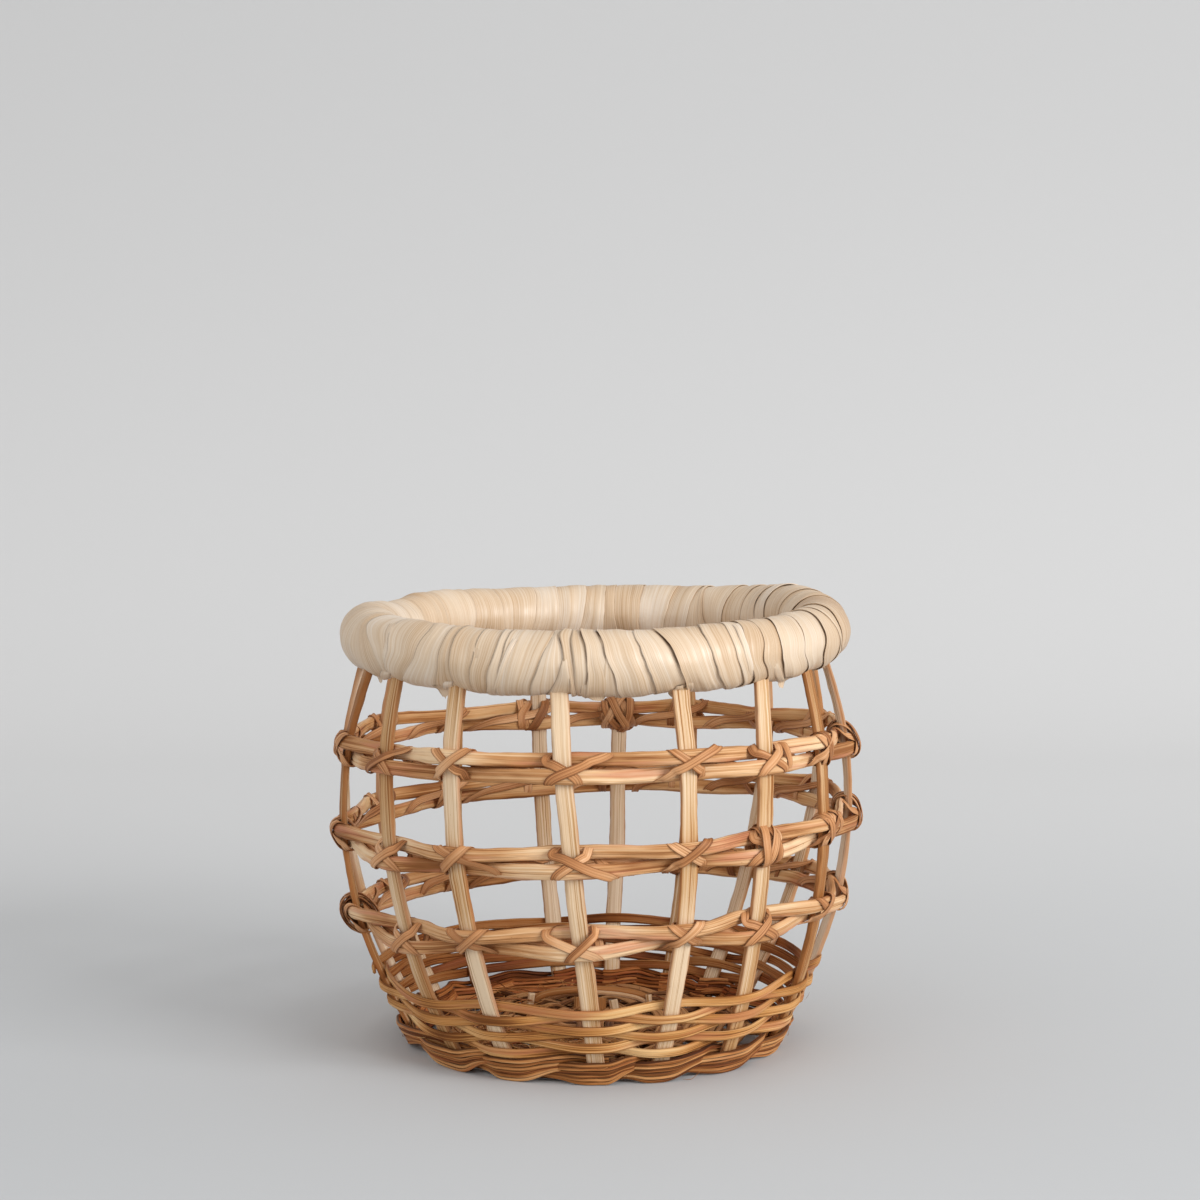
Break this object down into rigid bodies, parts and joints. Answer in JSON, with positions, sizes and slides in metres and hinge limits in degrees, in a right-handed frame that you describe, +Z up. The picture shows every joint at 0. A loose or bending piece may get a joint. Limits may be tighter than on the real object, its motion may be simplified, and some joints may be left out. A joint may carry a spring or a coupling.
{
  "type": "woven storage basket",
  "caption": "Open rattan basket with a leaf-wrapped rim, upright stakes, lashed double-cane hoops and a woven foot and floor.",
  "frame": {"origin": "on the surface that the basket stands on, under the middle of its outline", "axes": "+Z up through the mouth; +X to the right and -Y towards the viewer of the picture's front"},
  "size_m": [0.2717, 0.2718, 0.226],
  "materials": {
    "rim_core": "rough",
    "leaf_strip": "satin, fine fibres along the strip",
    "stake_cane": "peeled, satin, fine grain lengthwise",
    "hoop_cane": "satin, with reddish patches",
    "lashing_strip": "thin split strip, satin",
    "base_weave": "matt, fibrous",
    "border_cane": "matt, fibrous, reddish",
    "floor_cane": "matt, fibrous"
  },
  "bodies": {
    "root": {"rim_core": "rim_core", "rim_wrap": "leaf_strip", "stake_01": "stake_cane", "stake_02": "stake_cane", "stake_03": "stake_cane", "stake_04": "stake_cane", "stake_05": "stake_cane", "stake_06": "stake_cane", "stake_07": "stake_cane", "stake_08": "stake_cane", "stake_09": "stake_cane", "stake_10": "stake_cane", "stake_11": "stake_cane", "stake_12": "stake_cane", "stake_13": "stake_cane", "stake_14": "stake_cane", "stake_15": "stake_cane", "stake_16": "stake_cane", "lower_hoop_upper_cane": "hoop_cane", "lower_hoop_lower_cane": "hoop_cane", "lower_hoop_lashing": "lashing_strip", "middle_hoop_upper_cane": "hoop_cane", "middle_hoop_lower_cane": "hoop_cane", "middle_hoop_lashing": "lashing_strip", "top_hoop_upper_cane": "hoop_cane", "top_hoop_lower_cane": "hoop_cane", "top_hoop_lashing": "lashing_strip", "side_weaver_a": "base_weave", "side_weaver_b": "base_weave", "border_foot_cane": "border_cane", "border_middle_cane": "border_cane", "border_upper_cane": "border_cane", "border_inner_cane": "border_cane", "floor_cane_1": "floor_cane", "floor_cane_2": "floor_cane", "floor_cane_3": "floor_cane", "floor_cane_4": "floor_cane", "floor_cane_5": "floor_cane", "floor_cane_6": "floor_cane", "floor_cane_7": "floor_cane", "floor_cane_8": "floor_cane", "floor_weaver_a": "floor_cane", "floor_weaver_b": "floor_cane", "floor_arch_cane": "stake_cane"}
  },
  "joints": []
}
